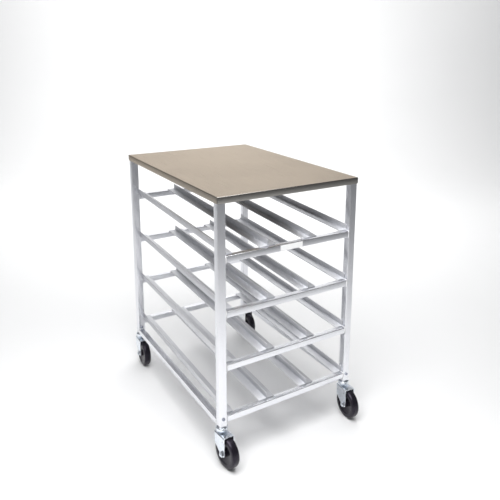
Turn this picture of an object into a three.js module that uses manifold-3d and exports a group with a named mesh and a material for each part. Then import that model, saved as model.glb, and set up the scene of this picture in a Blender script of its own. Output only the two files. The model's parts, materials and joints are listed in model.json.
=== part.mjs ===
// A mobile rack for number 10 cans, with a stainless work top and four swivel casters.
//
// The rack has four tiers. Each tier has a front bar, a higher back bar, two L rails against the posts and
// two inverted T rails between them, so three lanes of cans roll down towards the front (-Y).
// Millimetres, +Z up, +X to the right as seen from the front. The floor is z = 0.

import * as THREE from "three";
import { mergeVertices } from "three/addons/utils/BufferGeometryUtils.js";
import Module from "manifold-3d";

const wasm = await Module();
wasm.setup();

// ---------------------------------------------------------------- driving dimensions

const INCH = 25.4;
const WIDTH = 25 * INCH;
const DEPTH = 36 * INCH;
const HEIGHT = 42 * INCH;
const GAP = 0.3; // between pieces that rest on each other
const OVERLAP = 1; // of solids that are then joined into one
const SAME_POINT = 1e-4; // corners closer than this are one corner

const PANEL = { sheet: 1.6, lip: INCH, overhang: 2.3, bend: 3, cornerCut: 4.5 };

const POST = { side: 1.25 * INCH, wall: 2, corner: 3 };
const BAR = { side: INCH, wall: 2, corner: 2.5 };
const TOP_TUBE = { side: 0.75 * INCH, wall: 1.6, corner: 2 };
const CORNER_STEPS = 2;

const TIERS = 4;
const TIER_PITCH = 214.9;
const LOWEST_BAR_TOP = 200;
const TIER_RISE = 1.25 * INCH; // back bar above front bar

const RAIL = {
  height: INCH,
  thickness: 3.2,
  sideFlange: 35,
  middleFlange: 69,
  middleOffset: 96.5, // a T rail's fin from the rack's centre
  frontSetback: 18, // a rail's front end behind the posts' front faces
  backSetback: 10,
};

const LABEL = { width: 4 * INCH, height: 22, thickness: 0.8, corner: 1.5 };

const WHEEL = {
  radius: 2.5 * INCH,
  halfWidth: 16,
  hubRadius: 15,
  hubHalfWidth: 19.4,
  webHalf: 8,
  hubEdge: 1,
  dishRadius: 43,
  rimEdge: 2,
  shoulder: 6,
  shoulderEdge: 1.8,
  bore: 6.6,
};
const FORK = {
  sheet: 3.2,
  halfWidth: 23.2,
  bendRadius: 5,
  plateTop: 134,
  front: 49.5,
  back: 22,
  legBack: 15,
  legKink: 89,
  axleBoss: 13.5,
  raceRadius: 22,
  raceTop: 142,
  raceEdge: 3,
  backCorner: 14, // of the top, seen from above
};
const CASTER = {
  height: 157, // floor to the posts' lower ends
  trail: 36, // swivel axis to axle
  collarRadius: 23,
  collarLowerEdge: 3,
  collarUpperEdge: 1,
  stemRadius: 13.5,
  stemLength: 60,
  stemEdge: 2,
  kingpin: 6,
  rivetHead: 11,
  rivetHeight: 3.6,
  threadGuardHole: 2.2,
  threadGuardDrop: 52, // that hole above the axle
};
const AXLE = { radius: 6.35, headAcross: 19, headHeight: 6, nutHeight: 7.5, end: 3 };
const STEM_BOLT = { radius: 3.1, headAcross: 11, headHeight: 4, above: 35, intoStem: 8 };
const ROUND_STEPS = 24;
const HOLE_STEPS = 16;
const CURVE_STEPS = 6;
const WHEEL_STEPS = 32;

// Worked out from the above
const FRAME_WIDTH = WIDTH - 2 * PANEL.overhang;
const FRAME_DEPTH = DEPTH - 2 * PANEL.overhang;
const FRAME_TOP = HEIGHT - PANEL.sheet - GAP;
const POST_X = (FRAME_WIDTH - POST.side) / 2;
const POST_Y = (FRAME_DEPTH - POST.side) / 2;
const BETWEEN_POSTS_X = FRAME_WIDTH - 2 * POST.side - 2 * GAP;
const BETWEEN_POSTS_Y = FRAME_DEPTH - 2 * POST.side - 2 * GAP;
const AXLE_Z = WHEEL.radius;

// Each caster stands turned a little differently, with its wheel trailing to the front
const CORNERS = [
  { name: "front_left", side: -1, end: -1, turn: 7 },
  { name: "front_right", side: 1, end: -1, turn: -3 },
  { name: "back_left", side: -1, end: 1, turn: -2 },
  { name: "back_right", side: 1, end: 1, turn: 0 },
];

const FINISH = {
  aluminium: { color: 0xc9c8c6, roughness: 0.32, metalness: 1 },
  stainless: { color: 0xbba893, roughness: 0.38, metalness: 1 },
  zinc: { color: 0xd3dce6, roughness: 0.25, metalness: 1 },
  steel: { color: 0x9aa0ad, roughness: 0.4, metalness: 1 },
  rubber: { color: 0x2a282e, roughness: 0.6, metalness: 0 },
  label: { color: 0xf2f2f0, roughness: 0.5, metalness: 0 },
};

// ---------------------------------------------------------------- shapes

// A square outline with round corners, centred on the origin
function roundedSquare(outline, side, corner) {
  const centre = side / 2 - corner;
  outline.absarc(centre, centre, corner, 0, Math.PI / 2);
  outline.absarc(-centre, centre, corner, Math.PI / 2, Math.PI);
  outline.absarc(-centre, -centre, corner, Math.PI, 1.5 * Math.PI);
  outline.absarc(centre, -centre, corner, 1.5 * Math.PI, 2 * Math.PI);
  return outline;
}

function tubeSection({ side, wall, corner }) {
  const section = roundedSquare(new THREE.Shape(), side, corner);
  section.holes.push(roundedSquare(new THREE.Path(), side - 2 * wall, corner - wall / 2));
  return section;
}

function polygon(points) {
  return new THREE.Shape(points.map(([a, b]) => new THREE.Vector2(a, b)));
}

// A regular hexagon with two of its flats level
function hexagon(acrossFlats) {
  const radius = acrossFlats / Math.sqrt(3);
  const corners = Array.from({ length: 6 }, (_, i) => (i * Math.PI) / 3);
  return polygon(corners.map((angle) => [radius * Math.cos(angle), radius * Math.sin(angle)]));
}

function drawnAlongZ(shape, length, curveSegments = CORNER_STEPS) {
  return new THREE.ExtrudeGeometry(shape, { depth: length, bevelEnabled: false, curveSegments });
}

// The outline lies in X and Z, and the solid runs from y = 0 to the length
function drawnAlongY(shape, length, curveSegments) {
  return drawnAlongZ(shape, length, curveSegments)
    .rotateX(Math.PI / 2)
    .translate(0, length, 0);
}

// The outline lies in Y and Z, and the solid runs from x = 0 to the length
function drawnAlongX(shape, length, curveSegments) {
  return drawnAlongZ(shape, length, curveSegments)
    .rotateX(Math.PI / 2)
    .rotateZ(Math.PI / 2);
}

// A profile of [radius, height] points turned about Z
function turnedAboutZ(profile, steps = ROUND_STEPS, start = 0) {
  const points = profile.map(([radius, height]) => new THREE.Vector2(radius, height));
  return new THREE.LatheGeometry(points, steps, start).rotateX(Math.PI / 2);
}

// ---------------------------------------------------------------- cutting and joining

function toSolid(geometry) {
  const bare = geometry.clone();
  bare.deleteAttribute("normal");
  bare.deleteAttribute("uv");
  const merged = mergeVertices(bare, SAME_POINT);
  const corners = merged.index.array;
  const triangles = [];
  for (let i = 0; i < corners.length; i += 3) {
    const [a, b, c] = [corners[i], corners[i + 1], corners[i + 2]];
    if (a !== b && b !== c && c !== a) triangles.push(a, b, c);
  }
  const mesh = new wasm.Mesh({
    numProp: 3,
    vertProperties: merged.attributes.position.array,
    triVerts: new Uint32Array(triangles),
  });
  return new wasm.Manifold(mesh);
}

function toGeometry(solid) {
  const mesh = solid.getMesh();
  const geometry = new THREE.BufferGeometry();
  geometry.setAttribute("position", new THREE.BufferAttribute(mesh.vertProperties, 3));
  geometry.setIndex(new THREE.BufferAttribute(mesh.triVerts, 1));
  geometry.computeVertexNormals();
  return geometry;
}

function cut(geometry, ...cutters) {
  const left = cutters.reduce((solid, cutter) => solid.subtract(toSolid(cutter)), toSolid(geometry));
  return toGeometry(left);
}

// A round cutter along X or Y, centred on the point
function roundCutter(axis, radius, length, [x, y, z]) {
  const cutter = new THREE.CylinderGeometry(radius, radius, length, HOLE_STEPS);
  if (axis === "x") cutter.rotateZ(Math.PI / 2);
  return cutter.translate(x, y, z);
}

// ---------------------------------------------------------------- the rack

const cart = new THREE.Group();

function piece(name, geometry, finish, parent = cart) {
  const mesh = new THREE.Mesh(geometry, new THREE.MeshStandardMaterial(FINISH[finish]));
  mesh.name = name;
  parent.add(mesh);
  return mesh;
}

// A block with its upright and upper edges rounded
function softBlock(width, depth, height, radius) {
  const outline = new THREE.Shape();
  const [x, y] = [width / 2 - radius, depth / 2 - radius];
  outline.moveTo(-x, -y).lineTo(x, -y).lineTo(x, y).lineTo(-x, y);
  const block = new THREE.ExtrudeGeometry(outline, {
    depth: height,
    bevelThickness: radius,
    bevelSize: radius,
    bevelSegments: CORNER_STEPS,
  });
  return block.translate(0, 0, -height - radius);
}

// The work top: a shallow pan, upside down, whose lip has its lower corners cut off at 45 degrees
function topPanel() {
  const { sheet, lip, bend, cornerCut } = PANEL;
  const inside = softBlock(WIDTH - 2 * sheet, DEPTH - 2 * sheet, lip, bend - sheet).translate(0, 0, -sheet);
  const below = new THREE.BoxGeometry(2 * WIDTH, 2 * DEPTH, lip).translate(0, 0, -1.5 * lip);
  const cutters = [inside, below];
  const reach = 4 * cornerCut;
  const lean = Math.acos(1 / Math.sqrt(3));
  for (const { side, end } of CORNERS) {
    const outward = Math.atan2(end, side);
    const cutter = new THREE.BoxGeometry(reach, reach, reach)
      .translate(0, 0, -reach / 2 - (lip - cornerCut) / Math.sqrt(3))
      .rotateY(-lean)
      .rotateZ(outward)
      .translate((side * WIDTH) / 2, (end * DEPTH) / 2, 0);
    cutters.push(cutter);
  }
  const panel = cut(softBlock(WIDTH, DEPTH, lip, bend), ...cutters);
  piece("top_panel", panel, "stainless").position.z = HEIGHT;
}

function post({ name, side, end }) {
  const tube = drawnAlongZ(tubeSection(POST), FRAME_TOP - CASTER.height);
  const holePlace = [0, -POST.side / 2, STEM_BOLT.above];
  const boltHole = roundCutter("y", STEM_BOLT.radius + GAP, 3 * POST.wall, holePlace);
  const mesh = piece(`post_${name}`, cut(tube, boltHole), "aluminium");
  mesh.position.set(side * POST_X, end * POST_Y, CASTER.height);
}

// The tubes that tie the posts together under the work top, and low down on each side
function tieTubes() {
  const topZ = FRAME_TOP - TOP_TUBE.side / 2;
  const topX = (FRAME_WIDTH - TOP_TUBE.side) / 2;
  const topY = (FRAME_DEPTH - TOP_TUBE.side) / 2;
  const lowX = (FRAME_WIDTH - BAR.side) / 2;
  for (const [name, end] of [["front", -1], ["back", 1]]) {
    const tube = piece(`top_tube_${name}`, drawnAlongX(tubeSection(TOP_TUBE), BETWEEN_POSTS_X), "aluminium");
    tube.position.set(-BETWEEN_POSTS_X / 2, end * topY, topZ);
  }
  for (const [name, side] of [["left", -1], ["right", 1]]) {
    const top = piece(`top_tube_${name}`, drawnAlongY(tubeSection(TOP_TUBE), BETWEEN_POSTS_Y), "aluminium");
    top.position.set(side * topX, -BETWEEN_POSTS_Y / 2, topZ);
    const low = piece(`base_tube_${name}`, drawnAlongY(tubeSection(BAR), BETWEEN_POSTS_Y), "aluminium");
    low.position.set(side * lowX, -BETWEEN_POSTS_Y / 2, CASTER.height + BAR.side / 2);
  }
}

// A T rail stands upside down, its fin up in the middle of its flange
function middleRailSection() {
  const { height, thickness, middleFlange } = RAIL;
  const [flange, fin] = [middleFlange / 2, thickness / 2];
  return polygon([
    [-flange, 0],
    [flange, 0],
    [flange, thickness],
    [fin, thickness],
    [fin, height],
    [-fin, height],
    [-fin, thickness],
    [-flange, thickness],
  ]);
}

// An L rail's upright leg is against the posts, and its flange reaches inwards (towards +X here)
function sideRailSection(side) {
  const { height, thickness, sideFlange } = RAIL;
  const outline = [
    [0, 0],
    [sideFlange, 0],
    [sideFlange, thickness],
    [thickness, thickness],
    [thickness, height],
    [0, height],
  ];
  return polygon(side < 0 ? outline : outline.map(([x, z]) => [-x, z]).reverse());
}

function tier(number) {
  const barTop = LOWEST_BAR_TOP + TIER_PITCH * (TIERS - number);
  const barY = (FRAME_DEPTH - BAR.side) / 2;
  for (const [name, end, rise] of [["front", -1, 0], ["back", 1, TIER_RISE]]) {
    const tube = drawnAlongX(tubeSection(BAR), BETWEEN_POSTS_X);
    const bar = piece(`tier_${number}_${name}_bar`, tube, "aluminium");
    bar.position.set(-BETWEEN_POSTS_X / 2, end * barY, barTop - BAR.side / 2 + rise);
  }

  // The rails rest on the front bar at their front ends, and on the back bar's front edge
  const run = FRAME_DEPTH - BAR.side - RAIL.frontSetback;
  const slope = Math.atan2(TIER_RISE, run);
  const railLength = (FRAME_DEPTH - RAIL.frontSetback - RAIL.backSetback) / Math.cos(slope);
  const rails = new THREE.Group();
  rails.position.set(0, RAIL.frontSetback - FRAME_DEPTH / 2, barTop + GAP);
  rails.rotation.x = slope;
  cart.add(rails);
  for (const [name, side] of [["left", -1], ["right", 1]]) {
    const middleShape = drawnAlongY(middleRailSection(), railLength);
    const middle = piece(`tier_${number}_middle_rail_${name}`, middleShape, "aluminium", rails);
    middle.position.x = side * RAIL.middleOffset;
    const edgeShape = drawnAlongY(sideRailSection(side), railLength);
    const edge = piece(`tier_${number}_side_rail_${name}`, edgeShape, "aluminium", rails);
    edge.position.x = (side * BETWEEN_POSTS_X) / 2;
  }
}

// A blank plate in the middle of the top tier's front bar
function labelPlate() {
  const { width, height, thickness, corner } = LABEL;
  const [x, z] = [width / 2, height / 2];
  const outline = polygon([
    [-x + corner, -z],
    [x - corner, -z],
    [x, -z + corner],
    [x, z - corner],
    [x - corner, z],
    [-x + corner, z],
    [-x, z - corner],
    [-x, -z + corner],
  ]);
  const plate = piece("label_plate", drawnAlongY(outline, thickness), "label");
  const barMiddle = LOWEST_BAR_TOP + TIER_PITCH * (TIERS - 1) - BAR.side / 2;
  plate.position.set(0, -FRAME_DEPTH / 2 - GAP - thickness, barMiddle);
}

// ---------------------------------------------------------------- the casters
// In its own frame a caster's swivel axis is Z, its axle lies along X, and the wheel trails towards -Y.

// The round stem in the post, the collar under the post, and the kingpin with its riveted head, in one
function casterStem() {
  const { height, collarRadius, collarLowerEdge, collarUpperEdge } = CASTER;
  const { stemRadius, stemLength, stemEdge, kingpin, rivetHead, rivetHeight } = CASTER;
  const rivetTop = FORK.plateTop - FORK.sheet - GAP;
  const collarBottom = FORK.raceTop + GAP;
  const collarTop = height - GAP;
  const stemTop = height + stemLength;
  const stem = turnedAboutZ([
    [0, rivetTop - rivetHeight],
    [rivetHead, rivetTop - rivetHeight],
    [rivetHead, rivetTop],
    [kingpin, rivetTop],
    [kingpin, collarBottom],
    [collarRadius - collarLowerEdge, collarBottom],
    [collarRadius, collarBottom + collarLowerEdge],
    [collarRadius, collarTop - collarUpperEdge],
    [collarRadius - collarUpperEdge, collarTop],
    [stemRadius, collarTop],
    [stemRadius, stemTop - stemEdge],
    [stemRadius - stemEdge, stemTop],
    [0, stemTop],
  ]);
  const holeZ = height + STEM_BOLT.above;
  const holeLength = 2 * (STEM_BOLT.intoStem + GAP);
  return cut(stem, roundCutter("y", STEM_BOLT.radius + GAP, holeLength, [0, -stemRadius, holeZ]));
}

// The side of a fork, in Y and Z: a wide top, and legs that narrow down to a round boss about the axle
function forkSide() {
  const { plateTop, front, back, legBack, legKink, axleBoss } = FORK;
  const axleY = -CASTER.trail;
  const towardsKink = new THREE.Vector2(legBack - axleY, legKink - AXLE_Z);
  const tangent = towardsKink.angle() - Math.acos(axleBoss / towardsKink.length());
  const side = new THREE.Shape();
  side.moveTo(back, plateTop).lineTo(-front, plateTop).lineTo(-front, AXLE_Z);
  side.absarc(axleY, AXLE_Z, axleBoss, Math.PI, 2 * Math.PI + tangent);
  side.lineTo(legBack, legKink).lineTo(legBack, plateTop - 2 * FORK.bendRadius);
  side.lineTo(back, plateTop - FORK.bendRadius);
  return side;
}

// A fork bent from one sheet as an upside down U, with the lower ball race pressed up round the kingpin
function casterFork() {
  const { sheet, halfWidth, bendRadius, plateTop, front, back, backCorner, axleBoss } = FORK;
  const { raceRadius, raceTop, raceEdge } = FORK;
  const [outer, inner] = [halfWidth - bendRadius, halfWidth - sheet];
  const innerBend = bendRadius - sheet;
  const underside = plateTop - sheet;
  const foot = AXLE_Z - axleBoss - OVERLAP;
  const bent = new THREE.Shape();
  bent.moveTo(halfWidth, foot);
  bent.absarc(outer, plateTop - bendRadius, bendRadius, 0, Math.PI / 2);
  bent.absarc(-outer, plateTop - bendRadius, bendRadius, Math.PI / 2, Math.PI);
  bent.lineTo(-halfWidth, foot).lineTo(-inner, foot);
  bent.absarc(-inner + innerBend, underside - innerBend, innerBend, Math.PI, Math.PI / 2, true);
  bent.absarc(inner - innerBend, underside - innerBend, innerBend, Math.PI / 2, 0, true);
  bent.lineTo(inner, foot);

  const length = front + back;
  const sheetSolid = toSolid(drawnAlongY(bent, length).translate(0, -front, 0));
  const sideShape = drawnAlongX(forkSide(), 3 * halfWidth, CURVE_STEPS);
  const sideSolid = toSolid(sideShape.translate(-1.5 * halfWidth, 0, 0));

  const plan = new THREE.Shape();
  plan.moveTo(-halfWidth, -front).lineTo(halfWidth, -front);
  plan.absarc(halfWidth - backCorner, back - backCorner, backCorner, 0, Math.PI / 2);
  plan.absarc(backCorner - halfWidth, back - backCorner, backCorner, Math.PI / 2, Math.PI);
  const planSolid = toSolid(drawnAlongZ(plan, raceTop, CURVE_STEPS));

  const race = toSolid(turnedAboutZ([
    [0, underside + OVERLAP],
    [raceRadius, underside + OVERLAP],
    [raceRadius, raceTop - raceEdge],
    [raceRadius - raceEdge, raceTop],
    [0, raceTop],
  ]));

  const kingpinBore = new THREE.CylinderGeometry(
    CASTER.kingpin + GAP,
    CASTER.kingpin + GAP,
    4 * (raceTop - underside),
    HOLE_STEPS,
  ).rotateX(Math.PI / 2).translate(0, 0, raceTop);
  const axleBore = roundCutter("x", AXLE.radius + GAP, 3 * halfWidth, [0, -CASTER.trail, AXLE_Z]);
  const guardHole = roundCutter("x", CASTER.threadGuardHole, 3 * halfWidth, [
    0,
    -CASTER.trail,
    AXLE_Z + CASTER.threadGuardDrop,
  ]);
  const shaped = sheetSolid.intersect(sideSolid).intersect(planSolid).add(race);
  return cut(toGeometry(shaped), kingpinBore, axleBore, guardHole);
}

// A moulded wheel: a tread with round shoulders, and a dished face on both sides round a longer hub.
// It stands on one of its flats, so its radius is to the middle of a flat.
function casterWheel() {
  const { radius, halfWidth, hubRadius, hubHalfWidth, hubEdge, webHalf, bore } = WHEEL;
  const { dishRadius, rimEdge, shoulder, shoulderEdge } = WHEEL;
  const half = [
    [bore, hubHalfWidth],
    [hubRadius - hubEdge, hubHalfWidth],
    [hubRadius, webHalf],
    [dishRadius, halfWidth - rimEdge],
    [dishRadius + rimEdge, halfWidth],
    [radius - shoulder, halfWidth],
    [radius - shoulderEdge, halfWidth - shoulderEdge],
    [radius, halfWidth - shoulder],
  ];
  const otherHalf = half.map(([r, z]) => [r, -z]).reverse();
  const halfStep = Math.PI / WHEEL_STEPS;
  const profile = [...half, ...otherHalf, half[0]].map(([r, z]) => [r / Math.cos(halfStep), z]);
  return turnedAboutZ(profile.reverse(), WHEEL_STEPS, halfStep).rotateY(Math.PI / 2);
}

// A bolt with a hexagonal head along -Z and its shank along +Z
function hexBolt({ radius, headAcross, headHeight }, shank) {
  const head = toSolid(drawnAlongZ(hexagon(headAcross), headHeight).translate(0, 0, -headHeight));
  const body = toSolid(new THREE.CylinderGeometry(radius, radius, shank + OVERLAP, HOLE_STEPS)
    .rotateX(Math.PI / 2)
    .translate(0, 0, (shank - OVERLAP) / 2));
  return toGeometry(head.add(body));
}

function axleNut() {
  const nut = hexagon(AXLE.headAcross);
  const hole = new THREE.Path();
  hole.absarc(0, 0, AXLE.radius + GAP, 0, 2 * Math.PI);
  nut.holes.push(hole);
  return drawnAlongZ(nut, AXLE.nutHeight, CURVE_STEPS);
}

function caster({ name, side, end, turn }) {
  const prefix = `caster_${name}`;
  const place = new THREE.Group();
  place.position.set(side * POST_X, end * POST_Y, 0);
  cart.add(place);
  piece(`${prefix}_stem`, casterStem(), "zinc", place);

  const boltShank = POST.side / 2 - CASTER.stemRadius + STEM_BOLT.intoStem;
  const bolt = piece(`${prefix}_stem_bolt`, hexBolt(STEM_BOLT, boltShank), "steel", place);
  bolt.position.set(0, -POST.side / 2 - GAP, CASTER.height + STEM_BOLT.above);
  bolt.rotation.x = -Math.PI / 2;

  const swivel = new THREE.Group();
  swivel.rotation.z = THREE.MathUtils.degToRad(turn);
  place.add(swivel);
  piece(`${prefix}_fork`, casterFork(), "zinc", swivel);
  piece(`${prefix}_wheel`, casterWheel(), "rubber", swivel).position.set(0, -CASTER.trail, AXLE_Z);

  // The bolt's head is on the right of the fork, and the nut on the left
  const legFace = FORK.halfWidth + GAP;
  const axleShank = 2 * legFace + AXLE.nutHeight + AXLE.end;
  const axle = piece(`${prefix}_axle`, hexBolt(AXLE, axleShank), "zinc", swivel);
  axle.position.set(legFace, -CASTER.trail, AXLE_Z);
  axle.rotation.y = -Math.PI / 2;
  const nut = piece(`${prefix}_axle_nut`, axleNut(), "zinc", swivel);
  nut.position.set(-legFace, -CASTER.trail, AXLE_Z);
  nut.rotation.y = -Math.PI / 2;
}

// ---------------------------------------------------------------- assembly

topPanel();
CORNERS.forEach(post);
tieTubes();
for (let number = 1; number <= TIERS; number += 1) tier(number);
labelPlate();
CORNERS.forEach(caster);

// The origin is on the floor, below the middle of everything
cart.updateMatrixWorld(true);
const bounds = new THREE.Box3().setFromObject(cart, true);
const middle = bounds.getCenter(new THREE.Vector3());
cart.position.set(-middle.x, -middle.y, -bounds.min.z);

export default cart;
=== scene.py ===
# A mobile rack for number 10 cans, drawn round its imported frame.
# Metres, +Z up, -Y towards the front where the lanes come down, +X to the right as seen from the front.

import json
import math
import random

import bmesh
import bpy
from mathutils import Matrix, Vector


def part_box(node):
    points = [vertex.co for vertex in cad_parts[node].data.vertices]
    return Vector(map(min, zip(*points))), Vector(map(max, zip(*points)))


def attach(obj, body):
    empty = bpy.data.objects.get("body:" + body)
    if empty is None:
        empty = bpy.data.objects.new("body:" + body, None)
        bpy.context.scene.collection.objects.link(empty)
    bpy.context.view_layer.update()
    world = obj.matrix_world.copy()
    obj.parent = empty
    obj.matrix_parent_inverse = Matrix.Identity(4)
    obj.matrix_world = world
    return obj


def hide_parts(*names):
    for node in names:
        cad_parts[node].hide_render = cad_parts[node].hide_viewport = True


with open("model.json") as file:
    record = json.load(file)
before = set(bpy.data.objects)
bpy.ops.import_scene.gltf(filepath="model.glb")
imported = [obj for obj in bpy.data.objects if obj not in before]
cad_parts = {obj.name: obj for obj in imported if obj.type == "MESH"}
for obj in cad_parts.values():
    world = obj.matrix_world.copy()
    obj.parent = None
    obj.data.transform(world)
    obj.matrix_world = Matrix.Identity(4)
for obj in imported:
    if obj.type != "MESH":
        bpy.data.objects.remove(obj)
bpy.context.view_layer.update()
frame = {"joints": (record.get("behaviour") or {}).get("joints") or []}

random.seed(7)

# ---------------------------------------------------------------- sizes that the frame's boxes don't give

MM = 0.001
GAP = 0.3 * MM                 # between pieces that touch

POST = {"wall": 2.0 * MM, "corner": 3.2 * MM}
BAR = {"wall": 2.0 * MM, "corner": 2.6 * MM}
TOP_TUBE = {"wall": 1.6 * MM, "corner": 2.0 * MM}
TUBE_CORNER_STEPS = 6
TUBE_LEAST_CORNER = 0.8 * MM
TUBE_EDGE = 0.4 * MM           # the cut ends' broken edges

PANEL_SHEET = 1.6 * MM
PANEL_BEND = 2.6 * MM
PANEL_UPRIGHT_CORNER = 1.6 * MM
PANEL_CORNER_CUT = 4.5 * MM    # how far up the lip is cut away at each corner
PANEL_CORNER_STEPS = 4
PANEL_LEAST_CORNER = 0.3 * MM
PANEL_BEND_STEPS = 6
PANEL_FLAT_START = 1.5 * MM    # how far past a bend its flat's first row lies
PANEL_EDGE = 0.4 * MM

RAIL_THICKNESS = 3.2 * MM
RAIL_HEIGHT = 25.4 * MM
RAIL_ROOT = 1.6 * MM           # the slope between a rail's fin and its flange
RAIL_CORNER = 0.5 * MM
RAIL_EDGE = 0.3 * MM

LABEL_CORNER = 2.5 * MM
LABEL_EDGE = 0.2 * MM

BEAD_RIPPLE = 1.5 * MM
BEAD_RINGS_PER_RIPPLE = 4
BEAD_SIDES = 8
BEAD_SWELL = 0.13              # how much a ripple swells the bead, as a share of its radius
BEAD_UNEVEN = 0.05
BEAD_END = 0.45                # the radius at a bead's ends, as a share
BEAD_TAPER = 3.0               # how fast it grows from there, in radii over the bead's length
BAR_WELD = 2.6 * MM
BAR_WELD_SUNK = 1.3 * MM       # how far its middle lies inside the bar's face
BAR_WELD_PAST = 4.0 * MM       # how far it runs past the bar's corners
BAR_SMALL_WELD = 0.8 * BAR_WELD
TUBE_WELD = 1.8 * MM
TUBE_WELD_SUNK = 0.6 * MM      # how far the left one lies inside its tube's face
WELD_SHORT = 2.0 * MM          # how far a weld stops before a tube's corner
RAIL_WELD = 0.9 * MM
RAIL_WELD_SHORT = 1.0 * MM

FORK_SHEET = 3.2 * MM
FORK_HALF_WIDTH = 23.2 * MM
FORK_BEND = 5.0 * MM
FORK_PLATE_TOP = 134.0 * MM
FORK_FRONT = 49.5 * MM
FORK_BACK = 22.0 * MM
FORK_LEG_BACK = 15.0 * MM
FORK_LEG_KINK = 89.0 * MM
FORK_BOSS = 13.5 * MM
FORK_SHEET_CORNER = 0.7 * MM
FORK_LEG_ROWS = 14
FORK_BEND_STEPS = 7
FORK_FLAT_STEPS = 5
FORK_FOOT_ROW = 0.25 * MM      # the lowest row, above the boss's lowest point
RACE_RADIUS = 22.0 * MM
RACE_TOP = 142.0 * MM
RACE_CORNER = 0.6 * MM
GUARD_HOLE = 2.2 * MM
GUARD_HOLE_ABOVE_AXLE = 52.0 * MM

COLLAR_RADIUS = 23.0 * MM
STEM_RADIUS = 13.5 * MM
KINGPIN = 6.0 * MM
RIVET_HEAD = 11.0 * MM
STEM_CORNER = 0.7 * MM
TURNED_STEPS = 64
WHEEL_STEPS = 96

AXLE_RADIUS = 6.35 * MM
AXLE_HEAD_ACROSS = 19.0 * MM
AXLE_HEAD_HEIGHT = 6.0 * MM
AXLE_NUT_HEIGHT = 7.5 * MM
AXLE_END = 3.0 * MM
STEM_BOLT_ACROSS = 11.0 * MM
STEM_BOLT_RADIUS = 3.1 * MM
SHANK_OVERLAP = 0.5 * MM       # how far the stem bolt's shank reaches into its head
HEX_STEPS = 48
HEX_TOP_CIRCLE = 0.94          # the chamfer's circle, as a share of half the width across the flats
HEX_FACE = 0.55                # a row inside that circle, as a share of it
HEX_CHAMFER = math.radians(30)
THREAD_PITCH = 1.25 * MM
THREAD_ROOT = 0.90             # as a share of the shank's radius
THREAD_TIP = 0.72

WHEEL_HALF_WIDTH = 16.0 * MM
WHEEL_HUB = 15.0 * MM
WHEEL_HUB_HALF_WIDTH = 19.4 * MM
WHEEL_WEB_HALF = 8.0 * MM
WHEEL_DISH = 43.0 * MM
WHEEL_BORE = 6.6 * MM
WHEEL_SHOULDER = 6.0 * MM
WHEEL_CORNER = 1.6 * MM

CORNERS = ("front_left", "front_right", "back_left", "back_right")
TIERS = (1, 2, 3, 4)
JOINTS = {joint["name"]: joint for joint in frame["joints"]}

# ---------------------------------------------------------------- meshes

ON_AXIS = 1e-7
LONGEST_CUT = 0.45             # the most of an edge that a softened corner takes from one end


def soften(points, radius, steps=3, closed=False):
    """A list of 2-D points with each corner turned into a small curve."""
    count = len(points)
    out = []
    for i, corner in enumerate(points):
        if not closed and i in (0, count - 1):
            out.append(Vector(corner))
            continue
        here = Vector(corner)
        before = Vector(points[i - 1]) - here
        after = Vector(points[(i + 1) % count]) - here
        start = here + before.normalized() * min(radius, LONGEST_CUT * before.length)
        end = here + after.normalized() * min(radius, LONGEST_CUT * after.length)
        for k in range(steps + 1):
            t = k / steps
            out.append(start * (1 - t) ** 2 + here * 2 * t * (1 - t) + end * t * t)
    return out


def inset(points, distance):
    """A closed outline moved inwards by a small distance."""
    count = len(points)
    area = sum(a.cross(b) for a, b in zip(points, points[1:] + points[:1]))
    sign = 1 if area > 0 else -1
    out = []
    for i, here in enumerate(points):
        tangent = (points[(i + 1) % count] - points[i - 1]).normalized()
        out.append(here + Vector((-tangent.y, tangent.x)) * distance * sign)
    return out


def rounded_square(side, corner):
    """Points of a square outline with round corners, counter-clockwise round the origin."""
    centre = side / 2 - corner
    points = []
    for quarter, (sx, sy) in enumerate(((1, 1), (-1, 1), (-1, -1), (1, -1))):
        for k in range(TUBE_CORNER_STEPS + 1):
            angle = (quarter + k / TUBE_CORNER_STEPS) * math.pi / 2
            points.append((sx * centre + corner * math.cos(angle), sy * centre + corner * math.sin(angle)))
    return points


def loft(rings, around=False):
    """Vertices and faces of a skin over rings of points, closed by a cap at each end.

    With around, the last ring joins the first instead.
    """
    size = len(rings[0])
    verts = [tuple(point) for ring in rings for point in ring]
    faces = []
    for a in range(len(rings) if around else len(rings) - 1):
        b = (a + 1) % len(rings)
        for i in range(size):
            j = (i + 1) % size
            faces.append((a * size + i, a * size + j, b * size + j, b * size + i))
    if not around:
        last = (len(rings) - 1) * size
        faces.append(tuple(reversed(range(size))))
        faces.append(tuple(range(last, last + size)))
    return verts, faces


def turned(profile, steps):
    """A profile of (radius, height) points turned about Z.

    It starts and ends on the axis, or is a closed loop.
    """
    verts, faces, rows = [], [], []
    for radius, height in profile:
        if radius < ON_AXIS:
            rows.append([len(verts)] * steps)
            verts.append((0.0, 0.0, height))
            continue
        rows.append(list(range(len(verts), len(verts) + steps)))
        for i in range(steps):
            angle = 2 * math.pi * i / steps
            verts.append((radius * math.cos(angle), radius * math.sin(angle), height))
    closed = profile[0][0] > ON_AXIS
    for a in range(len(rows) if closed else len(rows) - 1):
        low, high = rows[a], rows[(a + 1) % len(rows)]
        for i in range(steps):
            j = (i + 1) % steps
            corners = (low[i], low[j], high[j], high[i])
            faces.append(tuple(dict.fromkeys(corners)))
    return verts, faces


def joined(*parts):
    """Several (vertices, faces) as one."""
    verts, faces = [], []
    for part_verts, part_faces in parts:
        start = len(verts)
        verts.extend(part_verts)
        faces.extend(tuple(i + start for i in face) for face in part_faces)
    return verts, faces


def moved(part, matrix):
    """A part carried by a matrix."""
    verts, faces = part
    return [tuple(matrix @ Vector(v)) for v in verts], faces


def linked(made):
    """A new object, put into the scene."""
    bpy.context.scene.collection.objects.link(made)
    return made


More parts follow.
